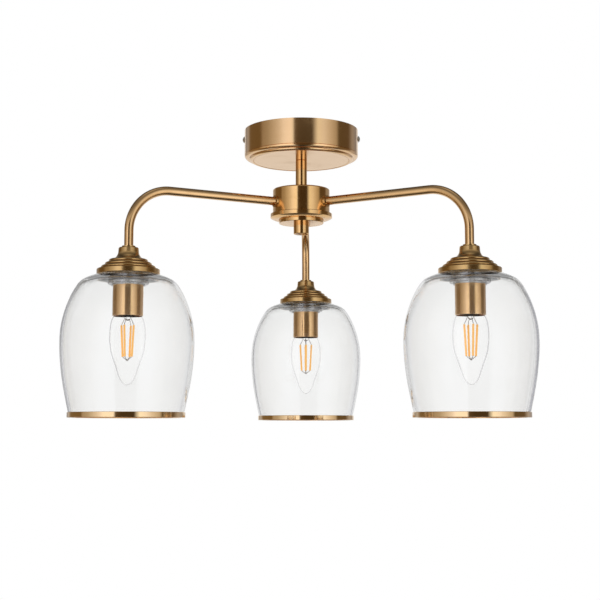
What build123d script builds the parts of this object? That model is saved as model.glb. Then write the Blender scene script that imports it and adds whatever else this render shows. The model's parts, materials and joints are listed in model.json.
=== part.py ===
"""Semi flush ceiling light with three arms, glass bell shades and candle bulbs.

Millimetres. The origin is the middle of the ceiling bracket's upper face, on the ceiling, and
+Z points up, so everything hangs at negative heights. The rear arm points along +Y.
"""

import os
from math import cos, hypot, radians, sin, sqrt, tan

from build123d import *

# ---------------------------------------------------------------------------------------------
# Driving dimensions
# ---------------------------------------------------------------------------------------------

arm_azimuths = {"rear": 90, "left": 210, "right": 330}

touch_gap = 0.3          # between curved faces of pieces that move apart
running_gap = 0.05       # radial play of a thread or shaft in its hole
slip_gap = 0.1           # radial play of a tube that slips over another

# Ceiling canopy
canopy_diameter = 120.0
canopy_depth = 32.0
canopy_wall = 1.2
canopy_wall_height = 26.2
canopy_face_diameter = 100.6
canopy_bead_radius = 3.3
canopy_bead_step = 1.6
side_screw_depth = 9.0

# Ceiling bracket
strap_width = 16.0
strap_thickness = 2.0
ear_length = 14.0
slot_spacing = 88.0
slot_length = 14.0
slot_width = 5.0

# Terminal block
block_length = 27.0
block_width = 16.0
block_height = 14.0
block_inner_face = 21.0
pole_pitch = 9.5
pole_bore_radius = 2.3
pole_wall = 0.5
clamp_screw_radius = 1.5
block_screw_radius = 1.5

# Side, earth and block screws
side_screw_radius = 2.0
side_screw_length = 10.0
side_screw_head_radius = 3.75
side_screw_head_height = 2.0
earth_screw_radius = 2.0
earth_screw_head_radius = 4.0
earth_screw_place = -20.0

# Stem and the M10 hollow rods
stem_wall = 0.95
stem_length = 31.0
stem_chamfer = 0.4
rod_radius = 5.0
rod_wall = 1.2
rod_nut_wall = 2.0
rod_nut_thickness = 5.0
washer_thickness = 1.0
washer_radius = 10.0
rod_end = 2.1            # length of thread that shows past a nut
stem_thread = 13.0       # length of rod inside each end of the stem

# Hub
hub_diameter = 60.0
hub_height = 26.0
hub_wall = 2.0
hub_top_thickness = 2.5
hub_edge_radius = 1.5
base_diameter = 65.0
base_band = 4.3
base_slope = 2.4
base_step_diameter = 46.8
base_step = 3.6
base_floor = 2.5
base_lip = 3.0
finial_diameter = 16.2
finial_length = 11.3
finial_edge = 0.6

# Arms
arm_reach = 192.0
arm_drop = 15.0          # depth of the arm's axis below the hub's top
arm_diameter = 9.0
arm_bore_radius = 3.2
arm_bend_radius = 43.0
spigot_radius = 4.0      # M8 thread at both ends
spigot_bore_radius = 2.7
arm_inner_end = 20.0
arm_nut_flats = 13.0
arm_nut_thickness = 4.0
collar_radius = 6.1
collar_thickness = 2.0

# Bell gallery, measured down from its top
gallery_top = -136.5
gallery_wall = 1.2
gallery_cap_thickness = 3.1
gallery_collar_radius = 6.65
gallery_collar_height = 1.6
gallery_neck_radius = 9.8
gallery_flare_radius = 16.2
gallery_flare_height = 13.3
gallery_ring_radii = (19.1, 22.9, 26.6)
gallery_ring_pitch = 3.2
gallery_ring_height = 2.9
gallery_flange_radius = 30.75
gallery_flange_height = 5.2

# Shade carrier: plate and threaded neck
neck_wall = 1.3
carrier_web = 2.0
thread_pitch = 1.5
thread_turns = 4

# Glass shade
glass_top_thickness = 4.2
glass_wall = 2.4
glass_hole_play = 1.0    # between the carrier's neck and the hole in the glass
shade_height = 138.0

# Rim at the shade's mouth
rim_radius = 56.9
rim_height = 5.3
rim_floor = 1.1
rim_inner_radius = 52.4
mouth_lean = 0.225       # how far the glass leans in for each mm down at its mouth

# Ring that holds the shade
ring_width = 3.5
ring_height = 4.4
ring_edge = 0.5

# Lampholder and its sleeve
sleeve_radius = 14.9
sleeve_wall = 0.8
sleeve_length = 38.8
holder_play = 0.7        # between the lampholder and its sleeve
holder_length = 28.7
holder_entry = 5.0
holder_web = 1.6
socket_radius = 7.9
shell_wall = 0.5
contact_radius = 3.5
contact_thickness = 0.9

# Candle bulb, C35 with an E14 cap
bulb_radius = 17.5
bulb_length = 96.9
bulb_wall = 0.8
bulb_contact_radius = 2.2
bulb_contact_height = 1.8
bulb_insulator_radius = 4.5
bulb_insulator_height = 2.0
bulb_thread_radius = 6.95
bulb_thread_depth = 0.6
bulb_thread_pitch = 2.82
bulb_thread_count = 5
bulb_cap_wall = 0.5
bulb_collar_radius = 8.2
bulb_collar_height = 1.7
bulb_neck_radius = 7.4
filament_radius = 1.0
filament_length = 30.5
filament_top_circle = 6.7
filament_bottom_circle = 4.9
filament_count = 4
filament_turn = {"rear": 5, "left": 42, "right": 45}   # how far each bulb happens to be screwed in
filament_drop = 38.9     # from the bulb's contact to the top of the filaments
wire_radius = 0.3
mount_radius = 2.6
mount_height = 11.5

# Leads
lead_radius = 1.5
lead_circle = 1.9
lead_turn_radius = 8.0
hub_turn_radius = 9.0
core_radius = 0.65
core_spread = 0.7
core_stack = 1.45
earth_lead_radius = 1.0
sheath_end = 11.0
window_width = 4.2
window_height = 10.0

# ---------------------------------------------------------------------------------------------
# Heights and radii that follow from them
# ---------------------------------------------------------------------------------------------

canopy_radius = canopy_diameter / 2
canopy_face = -canopy_depth
canopy_floor = canopy_face + canopy_wall + 0.2
rod_bore_radius = rod_radius - rod_wall
rod_nut_flats = 2 * (rod_radius + rod_nut_wall)
stem_radius = rod_radius + running_gap + stem_wall
hub_radius = hub_diameter / 2
hub_top = canopy_face - stem_length
hub_bottom = hub_top - hub_height
base_radius = base_diameter / 2
base_step_radius = base_step_diameter / 2
base_band_bottom = hub_bottom - base_band
base_slope_bottom = base_band_bottom - base_slope
base_bottom = base_slope_bottom - base_step
finial_radius = finial_diameter / 2
finial_bottom = base_bottom - finial_length
arm_height = hub_top - arm_drop
arm_radius = arm_diameter / 2
spigot_bottom_drop = 36.0
spigot_bottom = gallery_top - spigot_bottom_drop

gallery_cap_bottom = gallery_top - gallery_cap_thickness
flange_top = gallery_top - gallery_flare_height - 3 * gallery_ring_pitch - 0.1
seat = flange_top - gallery_flange_height
carrier_top = seat + 4.0
carrier_ledge = seat + 3.8
glass_inner_top = seat - glass_top_thickness
ring_travel = thread_pitch * thread_turns
neck_bottom = glass_inner_top - ring_travel
neck_radius = sleeve_radius + touch_gap + neck_wall
glass_hole_radius = neck_radius + glass_hole_play
ring_radius = neck_radius + ring_width
holder_radius = sleeve_radius - sleeve_wall - holder_play
arm_nut_corner = arm_nut_flats / sqrt(3)
carrier_nut_top = carrier_top - carrier_web
sleeve_top = carrier_nut_top - arm_nut_thickness
sleeve_bottom = sleeve_top - sleeve_length
holder_top = sleeve_top - sleeve_wall - 0.2
holder_bottom = holder_top - holder_length
socket_top = holder_top - holder_entry - holder_web
shell_radius = socket_radius - running_gap
shade_mouth = seat - shade_height
rim_bottom = shade_mouth - rim_floor - 0.1
rim_top = rim_bottom + rim_height

bulb_top = socket_top - contact_thickness - touch_gap
bulb_shell_top = bulb_top - bulb_contact_height - bulb_insulator_height
bulb_collar_top = holder_bottom - 0.4
bulb_collar_bottom = bulb_collar_top - bulb_collar_height
bulb_tip = bulb_top - bulb_length
filament_top = bulb_top - filament_drop
filament_bottom = filament_top - filament_length
mount_bottom = bulb_collar_bottom - mount_height

down = Vector(0, 0, -1)
up = Vector(0, 0, 1)


def heading(azimuth):
    """Level unit vector at an azimuth, counted from +X towards +Y."""
    return Vector(cos(radians(azimuth)), sin(radians(azimuth)), 0)


def upright(azimuth, reach=0.0):
    """Upright plane along an azimuth: its x is the distance from the axis at reach, its y is height."""
    outward = heading(azimuth)
    return Plane(origin=outward * reach, x_dir=outward, z_dir=outward.cross(up))


def across(azimuth, reach, height):
    """Plane square to an arm's level run, at a distance from the stem's axis."""
    outward = heading(azimuth)
    return Plane(origin=outward * reach + up * height, x_dir=up, z_dir=outward)


def level(azimuth, height):
    """Level plane centred on a shade's axis."""
    return Plane(origin=heading(azimuth) * arm_reach + up * height)


def shade_axis(azimuth):
    return Axis(heading(azimuth) * arm_reach, up)


def save(part, label):
    part.label = label
    export_step(part, f"parts/{label}.step")


def inside(points, walls):
    """Outline moved to its right by one wall at each point, square to the outline."""
    moved = []
    last = len(points) - 1
    for index, ((radius, height), wall) in enumerate(zip(points, walls)):
        before = points[max(index - 1, 0)]
        after = points[min(index + 1, last)]
        run = (after[0] - before[0], after[1] - before[1])
        length = hypot(*run)
        moved.append((radius + run[1] / length * wall, height - run[0] / length * wall))
    return moved


def turn_radii(points):
    """Radius for each corner of a lead: 0.45 of its shorter run over the tangent of half the turn."""
    radii = []
    for before, corner, after in zip(points, points[1:], points[2:]):
        first = Vector(*corner) - Vector(*before)
        second = Vector(*after) - Vector(*corner)
        shorter = min(first.length, second.length)
        radii.append(0.45 * shorter / tan(radians(first.get_angle(second) / 2)))
    return radii


os.makedirs("parts", exist_ok=True)

# ---------------------------------------------------------------------------------------------
# Ceiling bracket: a strap with two slots, and an ear bent down at each end
# ---------------------------------------------------------------------------------------------

canopy_bore = canopy_radius - canopy_wall
strap_half = sqrt(canopy_bore**2 - (strap_width / 2) ** 2) - touch_gap
block_centre = block_inner_face + block_width / 2
block_screw_offset = pole_pitch / 2

with BuildPart() as ceiling_bracket:
    with BuildSketch(Plane.XY.offset(-strap_thickness)):
        Rectangle(2 * strap_half, strap_width)
        with GridLocations(slot_spacing, 0, 2, 1):
            SlotOverall(slot_length, slot_width, mode=Mode.SUBTRACT)
        with Locations((earth_screw_place, 0)):
            Circle(earth_screw_radius + running_gap, mode=Mode.SUBTRACT)
        with Locations((block_centre, block_screw_offset)):
            Circle(block_screw_radius + running_gap, mode=Mode.SUBTRACT)
    extrude(amount=strap_thickness)
    with BuildSketch(Plane.XY.offset(-ear_length)):
        with Locations((strap_half - strap_thickness / 2, 0), (strap_thickness / 2 - strap_half, 0)):
            Rectangle(strap_thickness, strap_width)
    extrude(amount=ear_length)
    fillet(ceiling_bracket.edges().filter_by(Axis.Y).group_by(Axis.Z)[-1], strap_thickness * 0.75)
    with BuildSketch(Plane.YZ.offset(-strap_half)):
        with Locations((0, -side_screw_depth)):
            Circle(side_screw_radius + running_gap)
    extrude(amount=2 * strap_half, mode=Mode.SUBTRACT)
save(ceiling_bracket.part, "ceiling_bracket")

# ---------------------------------------------------------------------------------------------
# Terminal block, its brass poles and its clamp screws
# ---------------------------------------------------------------------------------------------

block_top = -strap_thickness
pole_height = block_top - block_height + 5.0
pole_radius = pole_bore_radius + pole_wall
clamp_places = (block_inner_face + 4.0, block_inner_face + block_width - 4.0)
pole_places = (-pole_pitch, 0.0, pole_pitch)
clamp_head = 0.4         # depth of a clamp screw's head inside the block

with BuildPart() as terminal_block:
    with BuildSketch(Plane.XY.offset(block_top)):
        with Locations((block_centre, 0)):
            RectangleRounded(block_width, block_length, 1.2)
    extrude(amount=-block_height)
    with BuildSketch(Plane.YZ.offset(block_inner_face)):
        with Locations(*[(place, pole_height) for place in pole_places]):
            Circle(pole_radius + slip_gap)
    extrude(amount=block_width, mode=Mode.SUBTRACT)
    with BuildSketch(Plane.XY.offset(block_top - block_height)):
        with Locations(*[(place, pole) for place in clamp_places for pole in pole_places]):
            Circle(clamp_screw_radius + slip_gap)
        with Locations((block_centre, block_screw_offset)):
            Circle(block_screw_radius + slip_gap)
    extrude(amount=block_height - 8.0, mode=Mode.SUBTRACT)
    with BuildSketch(Plane.XY.offset(block_top - block_height)):
        with Locations((block_centre, block_screw_offset)):
            Circle(block_screw_radius + slip_gap)
    extrude(amount=block_height, mode=Mode.SUBTRACT)
save(terminal_block.part, "terminal_block")

with BuildPart() as terminal_poles:
    with BuildSketch(Plane.YZ.offset(block_inner_face + 1.0)):
        with Locations(*[(place, pole_height) for place in pole_places]):
            Circle(pole_radius)
            Circle(pole_bore_radius, mode=Mode.SUBTRACT)
    extrude(amount=block_width - 2.0)
    with BuildSketch(Plane.XY.offset(block_top - block_height)):
        with Locations(*[(place, pole) for place in clamp_places for pole in pole_places]):
            Circle(clamp_screw_radius + running_gap)
    extrude(amount=block_height - 9.0, mode=Mode.SUBTRACT)
save(terminal_poles.part, "terminal_poles")

with BuildPart() as terminal_screws:
    with BuildSketch(Plane.XY.offset(block_top - block_height + clamp_head)):
        with Locations(*[(place, pole) for place in clamp_places for pole in pole_places]):
            Circle(clamp_screw_radius)
    extrude(amount=pole_height - pole_bore_radius - (block_top - block_height + clamp_head))
    with BuildSketch(Plane.XY.offset(block_top - block_height + clamp_head)):
        with Locations(*[(place, pole) for place in clamp_places for pole in pole_places]):
            Rectangle(2 * clamp_screw_radius, 0.6)
    extrude(amount=0.7, mode=Mode.SUBTRACT)
save(terminal_screws.part, "terminal_screws")

# The block's own screw goes up into the strap, and the earth screw clamps a washer under the strap

with BuildPart() as bracket_screws:
    with BuildSketch(Plane.XY.offset(block_top - block_height - 1.8)):
        with Locations((block_centre, block_screw_offset)):
            Circle(1.6 * block_screw_radius)
    extrude(amount=1.8)
    with BuildSketch(Plane.XY.offset(block_top - block_height)):
        with Locations((block_centre, block_screw_offset)):
            Circle(block_screw_radius)
    extrude(amount=block_height + strap_thickness - 0.2)
    with BuildSketch(Plane.XY.offset(-strap_thickness - 0.8)):
        with Locations((earth_screw_place, 0)):
            Circle(earth_screw_head_radius)
    extrude(amount=-2.2)
    with BuildSketch(Plane.XY.offset(-strap_thickness - 0.8)):
        with Locations((earth_screw_place, 0)):
            Circle(earth_screw_radius)
    extrude(amount=strap_thickness + 0.6)
    with BuildSketch(Plane.XY.offset(-strap_thickness - 0.8)):
        with Locations((earth_screw_place, 0)):
            Circle(earth_screw_head_radius + 0.6)
            Circle(earth_screw_radius + running_gap, mode=Mode.SUBTRACT)
    extrude(amount=0.8)
save(bracket_screws.part, "bracket_screws")

# ---------------------------------------------------------------------------------------------
# Canopy: a pressed cup, open towards the ceiling, with two beads around its flat face
# ---------------------------------------------------------------------------------------------

bead = canopy_bead_radius
face_radius = canopy_face_diameter / 2
bead_top = -canopy_wall_height - 0.5
bead_bottom = bead_top - bead
groove = 0.5
second_bead_outer = canopy_radius - bead - canopy_bead_step
second_bead_inner = face_radius + groove

with BuildPart() as canopy:
    with BuildSketch(Plane.XZ):
        with BuildLine():
            Polyline(
                (0, canopy_floor),
                (0, canopy_face),
                (face_radius, canopy_face),
                (face_radius + groove / 2, canopy_face + groove),
                (second_bead_inner, canopy_face),
            )
            ThreePointArc(
                (second_bead_inner, canopy_face),
                (second_bead_outer - 0.9, canopy_face + 0.5),
                (second_bead_outer, bead_bottom),
            )
            Line((second_bead_outer, bead_bottom), (canopy_radius - bead, bead_bottom))
            RadiusArc((canopy_radius - bead, bead_bottom), (canopy_radius, bead_top), -bead)
            Polyline(
                (canopy_radius, bead_top),
                (canopy_radius - groove, bead_top + 0.2),
                (canopy_radius, -canopy_wall_height),
                (canopy_radius, 0),
                (canopy_bore, 0),
                (canopy_bore, bead_top),
                (canopy_radius - bead - canopy_wall, bead_bottom + canopy_wall),
                (second_bead_outer - 2 * canopy_wall, canopy_floor),
                (0, canopy_floor),
            )
        make_face()
    revolve(axis=Axis.Z)
    with BuildSketch(Plane.XY.offset(canopy_face)):
        Circle(rod_radius + slip_gap)
    extrude(amount=canopy_depth, mode=Mode.SUBTRACT)
    with BuildSketch(Plane.YZ.offset(-canopy_radius)):
        with Locations((0, -side_screw_depth)):
            Circle(side_screw_radius + touch_gap)
    extrude(amount=2 * canopy_radius, mode=Mode.SUBTRACT)
save(canopy.part, "canopy")

for side, direction in {"right": 1, "left": -1}.items():
    head_face = Plane(
        origin=(direction * (canopy_radius + touch_gap), 0, -side_screw_depth),
        x_dir=(0, 1, 0),
        z_dir=(direction, 0, 0),
    )
    dome = (side_screw_head_radius**2 + side_screw_head_height**2) / (2 * side_screw_head_height)
    profile_plane = Plane(
        origin=head_face.origin, x_dir=(0, 1, 0), z_dir=Vector(0, 1, 0).cross(head_face.z_dir)
    )
    with BuildPart() as canopy_screw:
        with BuildSketch(profile_plane):
            with BuildLine():
                Polyline((0, side_screw_head_height), (0, 0), (side_screw_head_radius, 0))
                RadiusArc((side_screw_head_radius, 0), (0, side_screw_head_height), -dome)
            make_face()
        revolve(axis=Axis(head_face.origin, head_face.z_dir))
        with BuildSketch(head_face):
            Circle(side_screw_radius)
        extrude(amount=-side_screw_length)
        with BuildSketch(head_face.offset(side_screw_head_height)):
            Rectangle(0.9, 2 * side_screw_head_radius)
        extrude(amount=-1.1, mode=Mode.SUBTRACT)
    save(canopy_screw.part, f"canopy_screw_{side}")

# ---------------------------------------------------------------------------------------------
# Stem, the two hollow rods, their nuts and the washer
# ---------------------------------------------------------------------------------------------

washer_bottom = canopy_floor
canopy_nut_bottom = washer_bottom + washer_thickness
nipple_top = canopy_nut_bottom + rod_nut_thickness + rod_end
hub_nut_top = hub_top - hub_top_thickness
hub_rod_top = hub_top + stem_thread
hub_rod_bottom = base_bottom - finial_length + 3.0
window_middle = arm_height + 2.5

with BuildPart() as canopy_washer:
    with BuildSketch(Plane.XY.offset(washer_bottom)):
        Circle(washer_radius)
        Circle(rod_radius + slip_gap, mode=Mode.SUBTRACT)
    extrude(amount=washer_thickness)
save(canopy_washer.part, "canopy_washer")

with BuildPart() as canopy_nipple:
    with BuildSketch(Plane.XY.offset(canopy_face - stem_thread)):
        Circle(rod_radius)
        Circle(rod_bore_radius, mode=Mode.SUBTRACT)
    extrude(amount=nipple_top - (canopy_face - stem_thread))
save(canopy_nipple.part, "canopy_nipple")

with BuildPart() as rod_nuts:
    with BuildSketch(Plane.XY.offset(canopy_nut_bottom), Plane.XY.offset(hub_nut_top - rod_nut_thickness)):
        RegularPolygon(rod_nut_flats / 2, 6, major_radius=False)
        Circle(rod_radius + running_gap, mode=Mode.SUBTRACT)
    extrude(amount=rod_nut_thickness)
save(rod_nuts.part, "rod_nuts")

with BuildPart() as stem_tube:
    with BuildSketch(Plane.XY.offset(hub_top)):
        Circle(stem_radius)
        Circle(rod_radius + running_gap, mode=Mode.SUBTRACT)
    extrude(amount=stem_length)
    top_rims = stem_tube.edges().filter_by(GeomType.CIRCLE).group_by(Axis.Z)[-1]
    chamfer(top_rims.filter_by(lambda edge: edge.radius > rod_radius + 2 * running_gap), stem_chamfer)
save(stem_tube.part, "stem_tube")

with BuildPart() as hub_rod:
    with BuildSketch(Plane.XY.offset(hub_rod_bottom)):
        Circle(rod_radius)
        Circle(rod_bore_radius, mode=Mode.SUBTRACT)
    extrude(amount=hub_rod_top - hub_rod_bottom)
    for azimuth in arm_azimuths.values():
        with BuildSketch(across(azimuth, 0, window_middle)):
            SlotOverall(window_height, window_width)
        extrude(amount=rod_radius + 1, mode=Mode.SUBTRACT)
save(hub_rod.part, "hub_rod")

# ---------------------------------------------------------------------------------------------
# Hub drum, the base that closes it, and the finial that holds the base
# ---------------------------------------------------------------------------------------------

with BuildPart() as hub_body:
    with BuildSketch(Plane.XZ):
        with BuildLine():
            Polyline(
                (rod_radius + slip_gap, hub_top),
                (hub_radius - hub_edge_radius, hub_top),
            )
            RadiusArc(
                (hub_radius - hub_edge_radius, hub_top),
                (hub_radius, hub_top - hub_edge_radius),
                hub_edge_radius,
            )
            Polyline(
                (hub_radius, hub_top - hub_edge_radius),
                (hub_radius, hub_bottom),
                (hub_radius - hub_wall, hub_bottom),
                (hub_radius - hub_wall, hub_top - hub_top_thickness),
                (rod_radius + slip_gap, hub_top - hub_top_thickness),
                (rod_radius + slip_gap, hub_top),
            )
        make_face()
    revolve(axis=Axis.Z)
    for azimuth in arm_azimuths.values():
        with BuildSketch(across(azimuth, arm_inner_end, arm_height)):
            Circle(spigot_radius + slip_gap)
        extrude(amount=hub_radius - arm_inner_end + 1, mode=Mode.SUBTRACT)
save(hub_body.part, "hub_body")

base_lip_outer = hub_radius - hub_wall - slip_gap
base_recess = base_lip_outer - 2.0

with BuildPart() as hub_base:
    with BuildSketch(Plane.XZ):
        with BuildLine():
            Polyline(
                (rod_radius + slip_gap, base_bottom),
                (base_step_radius - 0.4, base_bottom),
                (base_step_radius, base_bottom + 0.4),
                (base_step_radius, base_slope_bottom + 0.5),
                (base_step_radius + 0.6, base_slope_bottom),
            )
            RadiusArc(
                (base_step_radius + 0.6, base_slope_bottom),
                (base_radius, base_band_bottom),
                -14,
            )
            Polyline(
                (base_radius, base_band_bottom),
                (base_radius, hub_bottom - 0.5),
                (base_radius - 0.5, hub_bottom),
                (base_lip_outer, hub_bottom),
                (base_lip_outer, hub_bottom + base_lip),
                (base_recess, hub_bottom + base_lip),
                (base_recess, base_band_bottom),
                (base_step_radius - base_floor, base_slope_bottom),
                (base_step_radius - base_floor, base_bottom + base_floor),
                (rod_radius + slip_gap, base_bottom + base_floor),
                (rod_radius + slip_gap, base_bottom),
            )
        make_face()
    revolve(axis=Axis.Z)
save(hub_base.part, "hub_base")

with BuildPart() as finial:
    with BuildSketch(Plane.XZ):
        Polygon(
            (rod_radius + running_gap, base_bottom),
            (finial_radius, base_bottom),
            (finial_radius, finial_bottom + finial_edge),
            (finial_radius - finial_edge, finial_bottom),
            (0, finial_bottom),
            (0, hub_rod_bottom - 0.3),
            (rod_radius + running_gap, hub_rod_bottom - 0.3),
            align=None,
        )
    revolve(axis=Axis.Z)
save(finial.part, "finial")

# ---------------------------------------------------------------------------------------------
# Arms: a tube with one bend, turned down to a threaded spigot at both ends
# ---------------------------------------------------------------------------------------------

arm_start = hub_radius + touch_gap

for side, azimuth in arm_azimuths.items():
    shade_plane = level(azimuth, spigot_bottom)
    with BuildPart() as arm:
        with BuildLine(upright(azimuth)) as tube_path:
            FilletPolyline(
                (arm_start, arm_height), (arm_reach, arm_height), (arm_reach, gallery_top),
                radius=arm_bend_radius,
            )
        with BuildSketch(across(azimuth, arm_start, arm_height)):
            Circle(arm_radius)
            Circle(arm_bore_radius, mode=Mode.SUBTRACT)
        sweep(path=tube_path.wires()[0])
        with BuildSketch(across(azimuth, arm_inner_end, arm_height)):
            Circle(spigot_radius)
            Circle(spigot_bore_radius, mode=Mode.SUBTRACT)
        extrude(amount=arm_start - arm_inner_end)
        with BuildSketch(shade_plane):
            Circle(spigot_radius)
            Circle(spigot_bore_radius, mode=Mode.SUBTRACT)
        extrude(amount=gallery_top - spigot_bottom)
    save(arm.part, f"arm_{side}")

with BuildPart() as arm_collars:
    for azimuth in arm_azimuths.values():
        with BuildSketch(across(azimuth, hub_radius - 2, arm_height)):
            Circle(collar_radius)
        extrude(amount=2 + collar_thickness)
    with BuildSketch(Plane.XY.offset(hub_bottom)):
        Circle(hub_radius + running_gap)
    extrude(amount=hub_height, mode=Mode.SUBTRACT)
    for azimuth in arm_azimuths.values():
        with BuildSketch(across(azimuth, hub_radius - 2, arm_height)):
            Circle(arm_radius + running_gap)
        extrude(amount=3 + collar_thickness, mode=Mode.SUBTRACT)
save(arm_collars.part, "arm_collars")

arm_nut_face = sqrt((hub_radius - hub_wall) ** 2 - arm_nut_corner**2) - slip_gap

with BuildPart() as arm_nuts:
    for azimuth in arm_azimuths.values():
        with BuildSketch(across(azimuth, arm_nut_face, arm_height)):
            RegularPolygon(arm_nut_flats / 2, 6, major_radius=False)
            Circle(spigot_radius + running_gap, mode=Mode.SUBTRACT)
        extrude(amount=-arm_nut_thickness)
save(arm_nuts.part, "arm_nuts")

# ---------------------------------------------------------------------------------------------
# Bell galleries, the carriers inside them, and the two nuts on each arm's lower thread
# ---------------------------------------------------------------------------------------------

collar_bottom = gallery_top - gallery_collar_height
flare_top = collar_bottom - 4.2
flare_bottom = gallery_top - gallery_flare_height
first_ring, second_ring, third_ring = gallery_ring_radii
ring_tops = [flare_bottom - index * gallery_ring_pitch for index in range(3)]
plate_radius = gallery_flange_radius - gallery_wall - touch_gap

for side, azimuth in arm_azimuths.items():
    with BuildPart() as gallery:
        with BuildSketch(upright(azimuth, arm_reach)):
            with BuildLine():
                Polyline(
                    (spigot_radius + slip_gap, gallery_top),
                    (gallery_collar_radius, gallery_top),
                    (gallery_collar_radius, collar_bottom),
                    (gallery_neck_radius - 0.6, collar_bottom),
                    (gallery_neck_radius, collar_bottom - 0.6),
                    (gallery_neck_radius + 0.3, flare_top),
                )
                ThreePointArc(
                    (gallery_neck_radius + 0.3, flare_top),
                    (gallery_neck_radius + 2.0, flare_top - 4.6),
                    (gallery_flare_radius, flare_bottom),
                )
                inner_radius = gallery_flare_radius
                for ring, ring_top in zip(gallery_ring_radii, ring_tops):
                    ring_bottom = ring_top - gallery_ring_height
                    Line((inner_radius, ring_top), (ring - 1.2, ring_top))
                    ThreePointArc(
                        (ring - 1.2, ring_top),
                        (ring, ring_top - gallery_ring_height / 2),
                        (ring - 0.8, ring_bottom),
                    )
                    Line((ring - 0.8, ring_bottom), (ring - 0.8, ring_top - gallery_ring_pitch))
                    inner_radius = ring - 0.8
                last_ring_bottom = ring_tops[-1] - gallery_ring_pitch
                Polyline(
                    (inner_radius, last_ring_bottom),
                    (inner_radius, flange_top),
                    (gallery_flange_radius - 0.5, flange_top),
                    (gallery_flange_radius, flange_top - 0.5),
                    (gallery_flange_radius, seat + 0.4),
                    (gallery_flange_radius - 0.4, seat),
                    (gallery_flange_radius - gallery_wall, seat),
                    (gallery_flange_radius - gallery_wall, carrier_ledge),
                    (third_ring - 1.5, carrier_ledge),
                    (second_ring - 1.6, ring_tops[2] - 1.0),
                    (first_ring - 1.6, ring_tops[1] - 1.0),
                    (gallery_flare_radius - 1.0, flare_bottom - gallery_wall),
                    (gallery_neck_radius + 0.7, flare_top - 5.6),
                    (gallery_neck_radius - gallery_wall, gallery_cap_bottom),
                    (spigot_radius + slip_gap, gallery_cap_bottom),
                    (spigot_radius + slip_gap, gallery_top),
                )
            make_face()
        revolve(axis=shade_axis(azimuth))
    save(gallery.part, f"gallery_{side}")

with BuildPart() as shade_carriers:
    for azimuth in arm_azimuths.values():
        with BuildSketch(upright(azimuth, arm_reach)):
            Polygon(
                (spigot_radius + slip_gap, carrier_top),
                (neck_radius, carrier_top),
                (neck_radius, seat + carrier_web),
                (plate_radius - 2.0, seat + carrier_web),
                (plate_radius - 2.0, carrier_ledge),
                (plate_radius, carrier_ledge),
                (plate_radius, seat),
                (neck_radius, seat),
                (neck_radius, neck_bottom),
                (neck_radius - neck_wall, neck_bottom),
                (neck_radius - neck_wall, carrier_nut_top),
                (spigot_radius + slip_gap, carrier_nut_top),
                align=None,
            )
        revolve(axis=shade_axis(azimuth))
save(shade_carriers.part, "shade_carriers")

with BuildPart() as gallery_nuts:
    for azimuth in arm_azimuths.values():
        with BuildSketch(level(azimuth, gallery_cap_bottom), level(azimuth, carrier_nut_top)):
            RegularPolygon(arm_nut_flats / 2, 6, major_radius=False)
            Circle(spigot_radius + running_gap, mode=Mode.SUBTRACT)
        extrude(amount=-arm_nut_thickness)
save(gallery_nuts.part, "gallery_nuts")

# ---------------------------------------------------------------------------------------------
# Lampholders, their metal shells and contacts, and the brass sleeves over them
# ---------------------------------------------------------------------------------------------

for side, azimuth in arm_azimuths.items():
    with BuildPart() as lampholder:
        with BuildSketch(level(azimuth, holder_top)):
            Circle(holder_radius)
        extrude(amount=-holder_length)
        with BuildSketch(level(azimuth, holder_top)):
            Circle(spigot_radius + running_gap)
        extrude(amount=-holder_entry, mode=Mode.SUBTRACT)
        with BuildSketch(level(azimuth, socket_top)):
            Circle(socket_radius)
        extrude(amount=holder_bottom - socket_top, mode=Mode.SUBTRACT)
        outer_rims = lampholder.edges().filter_by(GeomType.CIRCLE)
        chamfer(outer_rims.filter_by(lambda edge: edge.radius > holder_radius - 0.1), 0.6)
    save(lampholder.part, f"lampholder_{side}")

    with BuildPart() as sleeve:
        with BuildSketch(level(azimuth, sleeve_top)):
            Circle(sleeve_radius)
        extrude(amount=-sleeve_length)
        with BuildSketch(level(azimuth, sleeve_bottom)):
            Circle(sleeve_radius - sleeve_wall)
        extrude(amount=sleeve_length - sleeve_wall - 0.2, mode=Mode.SUBTRACT)
        with BuildSketch(level(azimuth, sleeve_top)):
            Circle(spigot_radius + slip_gap)
        extrude(amount=-sleeve_length, mode=Mode.SUBTRACT)
        end_rims = sleeve.edges().filter_by(GeomType.CIRCLE)
        fillet(end_rims.filter_by(lambda edge: edge.radius > sleeve_radius - 0.1), sleeve_wall * 0.45)
    save(sleeve.part, f"sleeve_{side}")

with BuildPart() as holder_shells:
    for azimuth in arm_azimuths.values():
        with BuildSketch(level(azimuth, holder_bottom + 0.5)):
            Circle(shell_radius)
            Circle(shell_radius - shell_wall, mode=Mode.SUBTRACT)
        extrude(amount=bulb_shell_top - holder_bottom)
save(holder_shells.part, "holder_shells")

with BuildPart() as holder_contacts:
    for azimuth in arm_azimuths.values():
        with BuildSketch(level(azimuth, socket_top)):
            Circle(contact_radius)
        extrude(amount=-contact_thickness)
        with BuildSketch(level(azimuth, socket_top - contact_thickness)):
            with PolarLocations(contact_radius, 2):
                Rectangle(contact_radius, 1.6)
        extrude(amount=contact_thickness * 0.6, mode=Mode.SUBTRACT)
save(holder_contacts.part, "holder_contacts")

# ---------------------------------------------------------------------------------------------
# Glass shades, their rims, and the rings that hold them up
# ---------------------------------------------------------------------------------------------

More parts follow.
